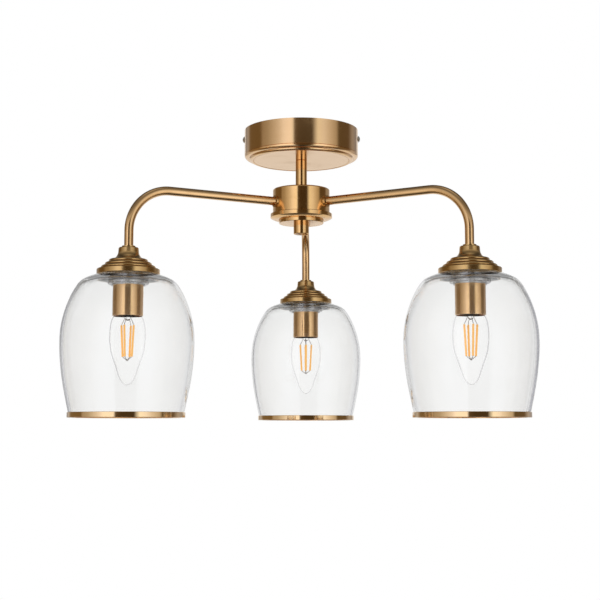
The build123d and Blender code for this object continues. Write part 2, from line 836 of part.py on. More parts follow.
# Outline of the bell, from the flat seat under the gallery to the mouth: radius, and depth below
# the seat as a share of the shade's height. The last point is the lip.
bell = [
    (27.0, 0.0),
    (37.0, 0.0174),
    (45.0, 0.0464),
    (51.6, 0.1065),
    (57.8, 0.2007),
    (64.2, 0.3768),
    (64.9, 0.5435),
    (61.9, 0.7514),
    (54.9, 1.0),
]
bell_outer = [(radius, seat - share * shade_height) for radius, share in bell]
bell_walls = [glass_top_thickness, 3.8, 3.2, 2.8] + [glass_wall] * 5
bell_inner = inside(bell_outer, bell_walls)
bell_inner[0] = (bell[0][0], glass_inner_top)
bell_inner[-1] = (bell[-1][0] - glass_wall, shade_mouth)
mouth_slope = Vector(-mouth_lean, -1, 0)
rim_lip = bell[-1][0] + mouth_lean * (rim_top - shade_mouth) + slip_gap

for side, azimuth in arm_azimuths.items():
    with BuildPart() as shade:
        with BuildSketch(upright(azimuth, arm_reach)):
            with BuildLine():
                Line((glass_hole_radius, seat), bell_outer[0])
                Spline(*bell_outer, tangents=[(1, 0), mouth_slope], tangent_scalars=[1, 1])
                Line(bell_outer[-1], bell_inner[-1])
                Spline(*bell_inner, tangents=[(1, 0), mouth_slope], tangent_scalars=[1, 1])
                Polyline(bell_inner[0], (glass_hole_radius, glass_inner_top), (glass_hole_radius, seat))
            make_face()
        revolve(axis=shade_axis(azimuth))
    save(shade.part, f"shade_{side}")

    with BuildPart() as rim:
        with BuildSketch(upright(azimuth, arm_reach)):
            Polygon(
                (rim_radius - 0.3, rim_top),
                (rim_radius, rim_top - 0.3),
                (rim_radius, rim_bottom + 0.3),
                (rim_radius - 0.3, rim_bottom),
                (rim_inner_radius, rim_bottom),
                (rim_inner_radius, rim_bottom + rim_floor),
                (bell[-1][0] + slip_gap, rim_bottom + rim_floor),
                (rim_lip, rim_top),
                align=None,
            )
        revolve(axis=shade_axis(azimuth))
    save(rim.part, f"rim_{side}")

    with BuildPart() as shade_ring:
        with BuildSketch(upright(azimuth, arm_reach)):
            Polygon(
                (neck_radius + running_gap, glass_inner_top),
                (ring_radius - ring_edge, glass_inner_top),
                (ring_radius, glass_inner_top - ring_edge),
                (ring_radius, glass_inner_top - ring_height + ring_edge),
                (ring_radius - ring_edge, glass_inner_top - ring_height),
                (neck_radius + running_gap, glass_inner_top - ring_height),
                align=None,
            )
        revolve(axis=shade_axis(azimuth))
        with BuildSketch(level(azimuth, glass_inner_top - ring_height)):
            with PolarLocations(ring_radius + 0.35, 24):
                Circle(0.7)
        extrude(amount=ring_height, mode=Mode.SUBTRACT)
    save(shade_ring.part, f"shade_ring_{side}")

# ---------------------------------------------------------------------------------------------
# Candle bulbs
# ---------------------------------------------------------------------------------------------

neck_top = bulb_collar_top - 0.4
candle_outer = [
    (bulb_neck_radius, bulb_collar_bottom),
    (11.6, bulb_collar_bottom - 4.5),
    (15.2, bulb_collar_bottom - 9.8),
    (17.3, bulb_collar_bottom - 20.0),
    (bulb_radius - 0.1, bulb_collar_bottom - 33.0),
    (15.7, bulb_collar_bottom - 43.5),
    (11.0, bulb_collar_bottom - 57.0),
    (6.2, bulb_tip + 4.4),
    (0.0, bulb_tip),
]
candle_inner = inside(candle_outer, [bulb_wall] * len(candle_outer))
candle_inner[0] = (bulb_neck_radius - bulb_wall, bulb_collar_bottom)
candle_inner[-1] = (0.0, bulb_tip + bulb_wall)
thread_middle = bulb_shell_top - 1.6

for side, azimuth in arm_azimuths.items():
    middle = heading(azimuth) * arm_reach
    with BuildPart() as bulb_glass:
        with BuildSketch(upright(azimuth, arm_reach)):
            with BuildLine():
                Line((bulb_neck_radius, neck_top), candle_outer[0])
                Spline(*candle_outer, tangents=[(0, -1), (-1, 0)], tangent_scalars=[1, 1])
                Line(candle_outer[-1], candle_inner[-1])
                Spline(*candle_inner, tangents=[(0, -1), (-1, 0)], tangent_scalars=[1, 1])
                Polyline(
                    candle_inner[0],
                    (bulb_neck_radius - bulb_wall, neck_top),
                    (bulb_neck_radius, neck_top),
                )
            make_face()
        revolve(axis=shade_axis(azimuth))
    save(bulb_glass.part, f"bulb_glass_{side}")

    with BuildPart() as bulb_cap:
        with BuildSketch(upright(azimuth, arm_reach)):
            with BuildLine():
                Polyline(
                    (0, bulb_top),
                    (bulb_contact_radius, bulb_top),
                    (bulb_contact_radius, bulb_top - bulb_contact_height),
                    (bulb_insulator_radius, bulb_shell_top),
                    (bulb_thread_radius - bulb_thread_depth, bulb_shell_top),
                    (bulb_thread_radius - bulb_thread_depth, thread_middle),
                )
                for turn in range(bulb_thread_count):
                    crest_top = thread_middle - turn * bulb_thread_pitch
                    crest_bottom = crest_top - bulb_thread_pitch
                    ThreePointArc(
                        (bulb_thread_radius - bulb_thread_depth, crest_top),
                        (bulb_thread_radius, (crest_top + crest_bottom) / 2),
                        (bulb_thread_radius - bulb_thread_depth, crest_bottom),
                    )
                thread_bottom = thread_middle - bulb_thread_count * bulb_thread_pitch
                Polyline(
                    (bulb_thread_radius - bulb_thread_depth, thread_bottom),
                    (bulb_thread_radius - bulb_thread_depth, bulb_collar_top + 0.3),
                    (bulb_collar_radius, bulb_collar_top),
                    (bulb_collar_radius, bulb_collar_bottom),
                    (bulb_neck_radius + touch_gap, bulb_collar_bottom),
                    (bulb_neck_radius + touch_gap, bulb_collar_top - 0.3),
                    (bulb_thread_radius - bulb_thread_depth - bulb_cap_wall, bulb_collar_top),
                    (bulb_thread_radius - bulb_thread_depth - bulb_cap_wall, bulb_shell_top - 0.8),
                    (0, bulb_shell_top - 0.8),
                    (0, bulb_top),
                )
            make_face()
        revolve(axis=shade_axis(azimuth))
    save(bulb_cap.part, f"bulb_cap_{side}")

    with BuildPart() as bulb_mount:
        with BuildSketch(upright(azimuth, arm_reach)):
            with BuildLine():
                Polyline(
                    (0, bulb_collar_bottom),
                    (bulb_neck_radius - bulb_wall - 0.2, bulb_collar_bottom),
                    (mount_radius, bulb_collar_bottom - 4.0),
                    (mount_radius, mount_bottom + mount_radius),
                )
                RadiusArc((mount_radius, mount_bottom + mount_radius), (0, mount_bottom), mount_radius)
                Line((0, mount_bottom), (0, bulb_collar_bottom))
            make_face()
        revolve(axis=shade_axis(azimuth))
    save(bulb_mount.part, f"bulb_mount_{side}")

    with BuildPart() as bulb_filaments:
        for index in range(filament_count):
            spoke = heading(azimuth + filament_turn[side] + index * 360 / filament_count)
            top_end = middle + spoke * filament_top_circle + up * filament_top
            bottom_end = middle + spoke * filament_bottom_circle + up * filament_bottom
            wire_end = middle + spoke * (mount_radius + wire_radius + 0.1) + up * (mount_bottom + 3.0)
            hook = middle + up * (filament_bottom - 3.0)
            slant = (bottom_end - top_end).normalized()
            pieces = (
                (top_end, bottom_end, filament_radius),
                (top_end - slant * 0.2, wire_end, wire_radius),
                (bottom_end + slant * 0.2, hook + spoke * 0.9, wire_radius),
            )
            for start, end, radius in pieces:
                with BuildSketch(Plane(origin=start, z_dir=end - start)):
                    Circle(radius)
                extrude(amount=(end - start).length)
        with BuildSketch(level(azimuth, filament_bottom - 4.0)):
            Circle(1.1)
        extrude(amount=1.6)
    save(bulb_filaments.part, f"bulb_filaments_{side}")

# ---------------------------------------------------------------------------------------------
# Leads: one sheathed twin lead for each arm, its two cores, and the earth lead
# ---------------------------------------------------------------------------------------------

bundle_height = pole_height
lead_end = spigot_bottom + 0.3

with BuildPart() as arm_leads:
    for azimuth in arm_azimuths.values():
        place = heading(azimuth) * lead_circle
        lamp = heading(azimuth) * arm_reach
        top_height = bundle_height - place.X
        route = [
            (sheath_end, place.Y, top_height),
            (place.X, place.Y, top_height),
            (place.X, place.Y, arm_height),
            (lamp.X, lamp.Y, arm_height),
            (lamp.X, lamp.Y, lead_end),
        ]
        with BuildLine() as lead_path:
            FilletPolyline(*route, radius=[lead_turn_radius, hub_turn_radius, arm_bend_radius])
        with BuildSketch(Plane(origin=route[0], z_dir=(-1, 0, 0))):
            Circle(lead_radius)
        sweep(path=lead_path.wires()[0])
save(arm_leads.part, "arm_leads")

for name, way in {"live_cores": 1, "neutral_cores": -1}.items():
    with BuildPart() as cores:
        for azimuth in arm_azimuths.values():
            place = heading(azimuth) * lead_circle
            core_y = place.Y + way * core_spread
            core_height = bundle_height - place.X
            pole_entry = bundle_height - core_stack * place.X / (lead_circle * cos(radians(30)))
            route = [
                (sheath_end, core_y, core_height),
                (sheath_end + 2.5, core_y, core_height),
                (block_inner_face - 1.5, way * pole_pitch, pole_entry),
                (block_inner_face + 3.0, way * pole_pitch, pole_entry),
            ]
            with BuildLine() as core_path:
                FilletPolyline(*route, radius=turn_radii(route))
            with BuildSketch(Plane(origin=route[0], z_dir=(1, 0, 0))):
                Circle(core_radius)
            sweep(path=core_path.wires()[0])
    save(cores.part, name)

earth_height = -strap_thickness - 3.2
earth_route = [
    (block_inner_face + 3.0, 0, pole_height),
    (block_inner_face - 2.0, 0, pole_height),
    (block_inner_face - 7.0, 0.4, earth_height),
    (2.0, -0.6, earth_height - 0.3),
    (earth_screw_place + earth_screw_head_radius + touch_gap, 0, earth_height + 0.7),
]

with BuildPart() as earth_lead:
    with BuildLine() as earth_path:
        FilletPolyline(*earth_route, radius=turn_radii(earth_route))
    with BuildSketch(Plane(origin=earth_route[0], z_dir=(-1, 0, 0))):
        Circle(earth_lead_radius)
    sweep(path=earth_path.wires()[0])
save(earth_lead.part, "earth_lead")
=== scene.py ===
# %% [markdown]
# # Semi flush ceiling light with three glass bells
# This notebook dresses a ceiling light whose shapes come from a imported CAD model. The light has a
# round brass canopy, a short stem, a hub with three bent arms, and a clear glass bell over a candle
# bulb at the end of each arm. Each step says what a piece or a finish is on the real light, how it
# could be made in Blender, and why this way was chosen.
#
# The first step loads every CAD piece and moves its place into its mesh. The shapes stay as they
# are, so all that follows is finishes, the room to be mirrored, and the camera.

# %% Load the CAD model
import math

import bmesh
import bpy
from mathutils import Euler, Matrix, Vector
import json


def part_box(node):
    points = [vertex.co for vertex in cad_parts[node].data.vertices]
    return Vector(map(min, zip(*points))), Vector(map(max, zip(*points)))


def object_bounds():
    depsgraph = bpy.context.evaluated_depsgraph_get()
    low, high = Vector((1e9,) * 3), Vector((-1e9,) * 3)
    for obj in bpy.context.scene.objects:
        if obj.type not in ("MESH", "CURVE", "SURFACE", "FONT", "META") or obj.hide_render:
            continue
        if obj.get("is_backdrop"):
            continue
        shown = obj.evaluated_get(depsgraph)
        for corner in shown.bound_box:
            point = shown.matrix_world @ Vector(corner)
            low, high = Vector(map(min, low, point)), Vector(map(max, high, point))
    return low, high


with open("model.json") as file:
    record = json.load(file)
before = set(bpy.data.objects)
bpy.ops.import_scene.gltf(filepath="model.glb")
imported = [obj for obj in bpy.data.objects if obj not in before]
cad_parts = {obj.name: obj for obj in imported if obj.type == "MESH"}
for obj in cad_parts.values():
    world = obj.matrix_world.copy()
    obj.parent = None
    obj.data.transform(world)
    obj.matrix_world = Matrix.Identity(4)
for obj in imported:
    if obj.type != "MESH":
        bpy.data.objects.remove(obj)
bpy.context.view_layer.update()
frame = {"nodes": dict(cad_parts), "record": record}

# %% [markdown]
# ## The turning axes
# Every round piece was turned about an upright line of its own: canopy, stem and hub about the
# middle of the light, galleries, sleeves and rims about the middle of their shade. Patterns such as
# turning marks run round that line, so the materials need to know where it stands. The shades' axes
# could be typed in, but measuring them on the glass keeps them right when an arm gets longer.

# %% Measure the turning axes
SIDES = ("left", "right", "rear")
turning_axis = {"hub": (0.0, 0.0)}
for side in SIDES:
    low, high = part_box(f"shade_{side}")
    turning_axis[side] = ((low.x + high.x) / 2, (low.y + high.y) / 2)
    print(side, "axis", [round(v, 4) for v in turning_axis[side]])

# %% [markdown]
# ## Tools for wiring nodes
# A material in Blender is a graph of nodes. Wired by hand or by script, it needs the same three
# steps again and again: add a node, set a value, join two sockets. Three small functions take these
# over, so that each later cell shows only what is special about its finish.


# %% Tools: nodes, wires and sums
def add_node(tree, kind, **settings):
    """Adds a node and sets its properties."""
    node = tree.nodes.new(kind)
    for name, value in settings.items():
        setattr(node, name, value)
    return node


def wire(tree, source, target):
    """Joins an output to an input, or writes a plain value into the input."""
    if isinstance(source, bpy.types.NodeSocket):
        tree.links.new(source, target)
    else:
        target.default_value = source


def calculate(tree, operation, first, second=None, third=None):
    """One Math node, with its result as the answer."""
    node = add_node(tree, "ShaderNodeMath", operation=operation)
    for value, socket in zip((first, second, third), node.inputs):
        if value is not None:
            wire(tree, value, socket)
    return node.outputs[0]


print("tools for nodes ready")

# %% [markdown]
# ## Tools for shared effects
# Turning marks are on every turned piece, and finger marks are everywhere. Copying the same ten nodes
# into each material would work, but a mend would then have to be made in each copy. A node group is
# built once and placed in many materials, each time with values of its own.

# %% Tools: node groups
FLOAT = "NodeSocketFloat"
VECTOR = "NodeSocketVector"


def new_group(name, inputs, outputs):
    """An empty shader node group: name, its named inputs with defaults, and its named outputs."""
    group = bpy.data.node_groups.new(name, "ShaderNodeTree")
    for label, kind, default in inputs:
        socket = group.interface.new_socket(label, in_out="INPUT", socket_type=kind)
        if default is not None:
            socket.default_value = default
    for label, kind in outputs:
        group.interface.new_socket(label, in_out="OUTPUT", socket_type=kind)
    enter = add_node(group, "NodeGroupInput")
    leave = add_node(group, "NodeGroupOutput")
    return group, enter, leave


def place_group(tree, group, **values):
    """Puts a group into a material. Words with a space are written with an underscore."""
    node = add_node(tree, "ShaderNodeGroup", node_tree=group)
    for name, value in values.items():
        wire(tree, value, node.inputs[name.replace("_", " ")])
    return node


print("tools for groups ready")

# %% [markdown]
# ## Turning marks
# The canopy, hub, galleries and sleeves are spun or turned on a lathe, and the polishing wheel runs
# round them, so they keep very fine rings. The rings could be modelled, but they are thinner than a
# hair. A one-way noise is enough: it is read along a number that grows both with the height and with
# the distance from the turning axis, so the rings follow an upright wall as well as a flat face. A
# slower noise along the same number gives bands, where the wheel pressed harder or softer.


# %% Group: turning marks
def noise_along(tree, number, scale, detail):
    """Noise that changes along one number. Gives a grey value around a half."""
    noise = add_node(tree, "ShaderNodeTexNoise", noise_dimensions="1D")
    wire(tree, number, noise.inputs["W"])
    wire(tree, scale, noise.inputs["Scale"])
    wire(tree, detail, noise.inputs["Detail"])
    return noise.outputs["Fac"]


FACE_RINGS = 0.62  # rings across a flat face, for each ring up an upright wall
BANDS_PER_RING = 0.11

turning_marks, enter, leave = new_group(
    "turning marks",
    [
        ("Position", VECTOR, None),
        ("Axis X", FLOAT, 0.0),
        ("Axis Y", FLOAT, 0.0),
        ("Rings per metre", FLOAT, 1500.0),
    ],
    [("Height", FLOAT), ("Streak", FLOAT)],
)
tree = turning_marks
point = add_node(tree, "ShaderNodeSeparateXYZ")
wire(tree, enter.outputs["Position"], point.inputs[0])
across_x = calculate(tree, "SUBTRACT", point.outputs["X"], enter.outputs["Axis X"])
across_y = calculate(tree, "SUBTRACT", point.outputs["Y"], enter.outputs["Axis Y"])
square_x = calculate(tree, "MULTIPLY", across_x, across_x)
square_y = calculate(tree, "MULTIPLY", across_y, across_y)
radius = calculate(tree, "SQRT", calculate(tree, "ADD", square_x, square_y))
travel = calculate(tree, "MULTIPLY_ADD", radius, FACE_RINGS, point.outputs["Z"])
count = calculate(tree, "MULTIPLY", travel, enter.outputs["Rings per metre"])
wire(tree, noise_along(tree, count, scale=1.0, detail=3.0), leave.inputs["Height"])
wire(tree, noise_along(tree, count, scale=BANDS_PER_RING, detail=2.0), leave.inputs["Streak"])
print("group", turning_marks.name)

# %% [markdown]
# ## Handling marks
# Lacquered brass is never quite even. Fingers, dust and polish leave soft clouds that are a little
# duller than the rest, with finer specks in them. They could be painted on an image, but that would
# need an unwrapped mesh for each piece. Here two sizes of noise are multiplied, so that the clouds
# break up. The group gives a mask; each material decides how much duller or darker it gets.


# %% Group: handling marks
def noise_over(tree, place, scale, detail, roughness=0.5):
    """Noise that changes over a surface. Gives a grey value around a half."""
    noise = add_node(tree, "ShaderNodeTexNoise")
    wire(tree, place, noise.inputs["Vector"])
    wire(tree, scale, noise.inputs["Scale"])
    wire(tree, detail, noise.inputs["Detail"])
    wire(tree, roughness, noise.inputs["Roughness"])
    return noise.outputs["Fac"]


def remap(tree, value, start, end, least=0.0, most=1.0, curve="SMOOTHSTEP"):
    """A Map Range node: gives least up to start, most from end on, and goes over in between."""
    node = add_node(tree, "ShaderNodeMapRange", interpolation_type=curve)
    labels = ("Value", "From Min", "From Max", "To Min", "To Max")
    for label, number in zip(labels, (value, start, end, least, most)):
        wire(tree, number, node.inputs[label])
    return node.outputs["Result"]


SPECKS_PER_CLOUD = 14.0
BREAK_UP = 0.6  # how strongly the specks break up a cloud
CLOUD_START, CLOUD_FULL = 0.62, 0.72  # noise values between which a cloud fades in
CLOUD_REACH = 0.3  # a spread of 1 makes the clouds start at a value this much lower
SPECK_START, SPECK_FULL = 0.6, 0.75

handling_marks, enter, leave = new_group(
    "handling marks",
    [("Position", VECTOR, None), ("Clouds per metre", FLOAT, 35.0), ("Spread", FLOAT, 0.5)],
    [("Mask", FLOAT), ("Specks", FLOAT)],
)
tree = handling_marks
place = enter.outputs["Position"]
cloud_scale = enter.outputs["Clouds per metre"]
speck_scale = calculate(tree, "MULTIPLY", cloud_scale, SPECKS_PER_CLOUD)
clouds = noise_over(tree, place, cloud_scale, detail=4.0, roughness=0.6)
specks = noise_over(tree, place, speck_scale, detail=2.0)
wider = calculate(tree, "MULTIPLY", enter.outputs["Spread"], CLOUD_REACH)
cloud_edge = calculate(tree, "SUBTRACT", CLOUD_START, wider)
soft_clouds = remap(tree, clouds, cloud_edge, CLOUD_FULL)
broken = calculate(tree, "MULTIPLY_ADD", specks, BREAK_UP, 1.0 - BREAK_UP / 2)
wire(tree, calculate(tree, "MULTIPLY", soft_clouds, broken), leave.inputs["Mask"])
wire(tree, remap(tree, specks, SPECK_START, SPECK_FULL, curve="LINEAR"), leave.inputs["Specks"])
print("group", handling_marks.name)

# %% [markdown]
# ## Fine grain
# Tube, wire and plated steel are drawn through a die or rolled, and plastics come out of a mould.
# Both leave a fine unevenness without a direction that shows. One noise at a small size gives the
# height. The patchy tone that zinc plating and moulded plastic have comes from a Voronoi texture,
# which gives each of its cells a colour of its own; one channel of that colour is enough.

# %% Group: fine grain
PATCHES_PER_GRAIN = 0.25

fine_grain, enter, leave = new_group(
    "fine grain",
    [("Position", VECTOR, None), ("Grains per metre", FLOAT, 900.0)],
    [("Height", FLOAT), ("Patch", FLOAT)],
)
tree = fine_grain
place = enter.outputs["Position"]
grain_scale = enter.outputs["Grains per metre"]
wire(tree, noise_over(tree, place, grain_scale, detail=3.0), leave.inputs["Height"])
patches = add_node(tree, "ShaderNodeTexVoronoi", feature="F1")
wire(tree, place, patches.inputs["Vector"])
wire(tree, calculate(tree, "MULTIPLY", grain_scale, PATCHES_PER_GRAIN), patches.inputs["Scale"])
tone = add_node(tree, "ShaderNodeSeparateColor")
wire(tree, patches.outputs["Color"], tone.inputs["Color"])
wire(tree, tone.outputs["Red"], leave.inputs["Patch"])
print("group", fine_grain.name)

# %% [markdown]
# ## Tools for materials
# All finishes start alike: a material with a Principled shader, a place on the piece to read the
# patterns by, a ramp that turns a grey mask into tones, and a Bump node for the relief. Object
# coordinates give the place, because the CAD pieces have no unwrapped surface, and every piece keeps
# the CAD model's own metres, so that a pattern stays with its piece when the piece moves.


# %% Tools: materials
def new_material(name, metallic=0.0):
    """A material, with its node tree and its Principled shader."""
    material = bpy.data.materials.new(name)
    material.use_nodes = True
    tree = material.node_tree
    shader = tree.nodes["Principled BSDF"]
    shader.inputs["Metallic"].default_value = metallic
    return material, tree, shader


def place_on_piece(tree):
    """Where a point lies on its piece, in metres."""
    return add_node(tree, "ShaderNodeTexCoord").outputs["Object"]


def colour_ramp(tree, factor, stops):
    """A Color Ramp with the given (position, colour) stops."""
    ramp = add_node(tree, "ShaderNodeValToRGB")
    elements = ramp.color_ramp.elements
    while len(elements) < len(stops):
        elements.new(0.5)
    for element, (position, colour) in zip(elements, stops):
        element.position = position
        element.color = (*colour, 1.0)
    wire(tree, factor, ramp.inputs["Fac"])
    return ramp.outputs["Color"]


def add_relief(tree, shader, height, strength, depth):
    """A Bump node on the shader: it shades the surface as if height raised it by depth metres."""
    bump = add_node(tree, "ShaderNodeBump")
    bump.inputs["Strength"].default_value = strength
    bump.inputs["Distance"].default_value = depth
    wire(tree, height, bump.inputs["Height"])
    wire(tree, bump.outputs["Normal"], shader.inputs["Normal"])


print("tools for materials ready")

# %% [markdown]
# ## The brass finish
# The visible metal is brass-coloured plating under clear lacquer, polished until it mirrors the
# room in soft stripes. A Principled shader with Metallic 1 gives the mirror. Its colour is a warm
# yellow brown, its roughness is low, and turning marks and handling marks move both a little. The
# same recipe serves every brass piece, each with its own axis, ring spacing and wear, because a
# canopy the size of a saucer and a sleeve the size of a thimble aren't polished alike.
#
# The plating isn't one colour either. Canopy and sleeves are light, stem and hub deeper, the
# galleries and collars old and dull. The rims' paler tone is painted reflection: it stands for the
# pale floor that they mirror. Each set below holds three tones of one plating, from clean to
# tarnished, and the marks decide which of them shows where.

# %% Recipe: polished brass
LIGHT_BRASS = ((0.85, 0.56, 0.295), (0.81, 0.525, 0.265), (0.60, 0.36, 0.15))
DEEP_BRASS = ((0.85, 0.53, 0.23), (0.80, 0.49, 0.205), (0.58, 0.33, 0.11))
# painted reflection: paler tones for the rims, which paint in the pale floor that they mirror
PALE_BRASS_PAINTED_REFLECTION = ((0.87, 0.63, 0.37), (0.84, 0.6, 0.34), (0.62, 0.4, 0.2))
OLD_BRASS = ((0.66, 0.43, 0.19), (0.60, 0.385, 0.16), (0.42, 0.26, 0.09))
TONE_STOPS = (0.0, 0.35, 1.0)  # where the three tones stand between clean and tarnished
STREAK_TARNISH = 0.35  # how far towards tarnished a full streak goes
STREAK_DULLS = 0.04  # roughness added by a full streak
CLOUD_DULLS = 0.07  # roughness added by a full cloud


def brass(name, axis, rings, polish, tarnish, tones=LIGHT_BRASS, clouds=35.0):
    """Polished brass plating. polish is the roughness, tarnish the strength of darker clouds."""
    material, tree, shader = new_material(name, metallic=1.0)
    place = place_on_piece(tree)
    marks = place_group(
        tree, turning_marks, Position=place, Axis_X=axis[0], Axis_Y=axis[1], Rings_per_metre=rings
    )
    wear = place_group(tree, handling_marks, Position=place, Clouds_per_metre=clouds, Spread=0.6)
    streak = marks.outputs["Streak"]
    cloud = wear.outputs["Mask"]
    worn = calculate(tree, "MULTIPLY", cloud, tarnish)
    age = calculate(tree, "MULTIPLY_ADD", streak, STREAK_TARNISH, worn)
    wire(tree, colour_ramp(tree, age, list(zip(TONE_STOPS, tones))), shader.inputs["Base Color"])
    clouded = calculate(tree, "MULTIPLY_ADD", cloud, CLOUD_DULLS, polish - STREAK_DULLS / 2)
    rough = calculate(tree, "MULTIPLY_ADD", streak, STREAK_DULLS, clouded)
    wire(tree, rough, shader.inputs["Roughness"])
    add_relief(tree, shader, marks.outputs["Height"], strength=0.25, depth=0.00002)
    return material


print("recipe for polished brass ready")

# %% [markdown]
# ## Brass on the turned pieces
# The pieces round the stem share one axis. A gallery, sleeve or rim needs a material for each side,
# because its rings run round that side's own axis. Small pieces get more rings and clouds to the
# metre, so that some of each show on them. The rims are the smoothest: on the real light they mirror
# the room almost as sharply as a spoon.

# %% Finishes: turned brass
hub_axis = turning_axis["hub"]
finish = {
    "canopy_brass": brass("canopy brass", hub_axis, 1400, 0.13, 0.25),
    "stem_brass": brass("stem brass", hub_axis, 2000, 0.12, 0.3, DEEP_BRASS, clouds=80),
    "hub_brass": brass("hub brass", hub_axis, 1700, 0.11, 0.3, DEEP_BRASS, clouds=60),
    "base_brass": brass("hub base brass", hub_axis, 1700, 0.12, 0.35, DEEP_BRASS, clouds=60),
    "finial_brass": brass("finial brass", hub_axis, 2200, 0.12, 0.35, DEEP_BRASS, clouds=90),
    "collar_brass": brass("arm collar brass", hub_axis, 2200, 0.2, 0.6, OLD_BRASS, clouds=120),
}
for side in SIDES:
    axis = turning_axis[side]
    finish[f"gallery_{side}"] = brass(f"gallery brass {side}", axis, 1900, 0.2, 0.45, OLD_BRASS, clouds=90)
    finish[f"sleeve_{side}"] = brass(f"sleeve brass {side}", axis, 2100, 0.15, 0.3, clouds=80)
    # the rims take the paler tones, a painted reflection of the floor
    finish[f"rim_{side}"] = brass(f"rim brass {side}", axis, 2400, 0.06, 0.3, PALE_BRASS_PAINTED_REFLECTION, clouds=60)
print("brass finishes", len(finish))

# %% [markdown]
# ## Drawn brass tube
# The arms are bent from drawn tube, so rings round an upright axis would be wrong on them. Rings
# along the bent tube would need its middle line, and drawing leaves hardly any. So the arms take the
# fine grain for relief and the same handling marks, which run from a clean tone to a tarnished one.

# %% Finish: arms
ARM_TONES = [(0.0, (0.83, 0.54, 0.27)), (1.0, (0.58, 0.34, 0.14))]
ARM_TARNISH = 0.35
ARM_POLISH = 0.14

arm_brass, tree, shader = new_material("arm tube brass", metallic=1.0)
place = place_on_piece(tree)
grain = place_group(tree, fine_grain, Position=place, Grains_per_metre=1600.0)
wear = place_group(tree, handling_marks, Position=place, Clouds_per_metre=45.0, Spread=0.6)
worn = calculate(tree, "MULTIPLY", wear.outputs["Mask"], ARM_TARNISH)
wire(tree, colour_ramp(tree, worn, ARM_TONES), shader.inputs["Base Color"])
rough = calculate(tree, "MULTIPLY_ADD", wear.outputs["Mask"], CLOUD_DULLS, ARM_POLISH)
wire(tree, rough, shader.inputs["Roughness"])
add_relief(tree, shader, grain.outputs["Height"], strength=0.2, depth=0.00001)
finish["arm_brass"] = arm_brass
print("finish", arm_brass.name)

# %% [markdown]
# ## Plated steel, bare brass and bronze
# Behind the canopy and inside the tubes the metal isn't for show: zinc-plated strap, rods and nuts,
# bare brass in the terminals and lampholders, springy bronze contacts, nickel on the bulb caps and
# side screws. They share one recipe: a metal whose patches and grain show more than on the brass.
# Plating grows in patches, so clouds and patches are added up, and the same sum moves both the tone
# and the roughness: a dark patch is a dull one.

# %% Recipe: working metal
CLOUD_SHARE, PATCH_SHARE = 0.6, 0.4  # how much clouds and patches each move the tone


def working_metal(name, light, dark, smoothest, roughest, grains=700.0):
    """Metal that isn't polished for show: two tones in patches, with an uneven roughness."""
    material, tree, shader = new_material(name, metallic=1.0)
    place = place_on_piece(tree)
    grain = place_group(tree, fine_grain, Position=place, Grains_per_metre=grains)
    wear = place_group(tree, handling_marks, Position=place, Clouds_per_metre=110.0, Spread=0.8)
    clouds = calculate(tree, "MULTIPLY", wear.outputs["Mask"], CLOUD_SHARE)
    patched = calculate(tree, "MULTIPLY_ADD", grain.outputs["Patch"], PATCH_SHARE, clouds)
    wire(tree, colour_ramp(tree, patched, [(0.0, light), (1.0, dark)]), shader.inputs["Base Color"])
    rough = calculate(tree, "MULTIPLY_ADD", patched, roughest - smoothest, smoothest)
    wire(tree, rough, shader.inputs["Roughness"])
    add_relief(tree, shader, grain.outputs["Height"], strength=0.4, depth=0.00003)
    return material


print("recipe for working metal ready")

# %% [markdown]
# ## Which metal is where
# Blue zinc is a cool grey and yellow zinc a straw colour. The shade rings are handled the most, so
# they are the brightest steel. The side screws are nickel-plated and show, so they are smoother and
# their grain is finer.

# %% Finishes: working metals
finish["bracket_steel"] = working_metal("strap zinc", (0.66, 0.67, 0.68), (0.47, 0.48, 0.5), 0.3, 0.45)
finish["carrier_steel"] = working_metal("carrier zinc", (0.64, 0.64, 0.64), (0.46, 0.46, 0.47), 0.28, 0.42)
finish["ring_steel"] = working_metal("shade ring zinc", (0.7, 0.7, 0.7), (0.52, 0.52, 0.53), 0.22, 0.36)
finish["rod_steel"] = working_metal("rod yellow zinc", (0.7, 0.66, 0.5), (0.52, 0.47, 0.33), 0.3, 0.45)
finish["screw_steel"] = working_metal("screw zinc", (0.68, 0.69, 0.7), (0.5, 0.5, 0.52), 0.25, 0.4)
finish["canopy_screw_steel"] = working_metal(
    "side screw nickel", (0.72, 0.69, 0.64), (0.52, 0.48, 0.42), 0.18, 0.3, grains=1500.0
)
finish["terminal_brass"] = working_metal("terminal brass", (0.78, 0.61, 0.32), (0.6, 0.43, 0.2), 0.3, 0.45)
finish["shell_brass"] = working_metal("screw shell brass", (0.8, 0.64, 0.36), (0.62, 0.46, 0.22), 0.25, 0.4)
finish["contact_bronze"] = working_metal("contact bronze", (0.74, 0.5, 0.3), (0.55, 0.34, 0.18), 0.28, 0.42)
finish["bulb_cap_metal"] = working_metal("bulb cap nickel", (0.8, 0.78, 0.72), (0.6, 0.57, 0.5), 0.2, 0.34)
print("finishes so far", len(finish))

# %% [markdown]
# ## Plastics
# The terminal block and lampholders are moulded, the lead and its cores are sheathed in soft PVC.
# Moulded plastic is slightly orange-peeled, never mirror flat, and its tone drifts. A Principled
# shader that is no metal does the rest by itself: colour below, and a thin pale gloss on top. Live is
# brown, neutral blue, and the earth core runs from green to yellow, as the cable standard has it.

# %% Finishes: plastics
PATCH_DULLS = 0.1  # roughness added by a full patch


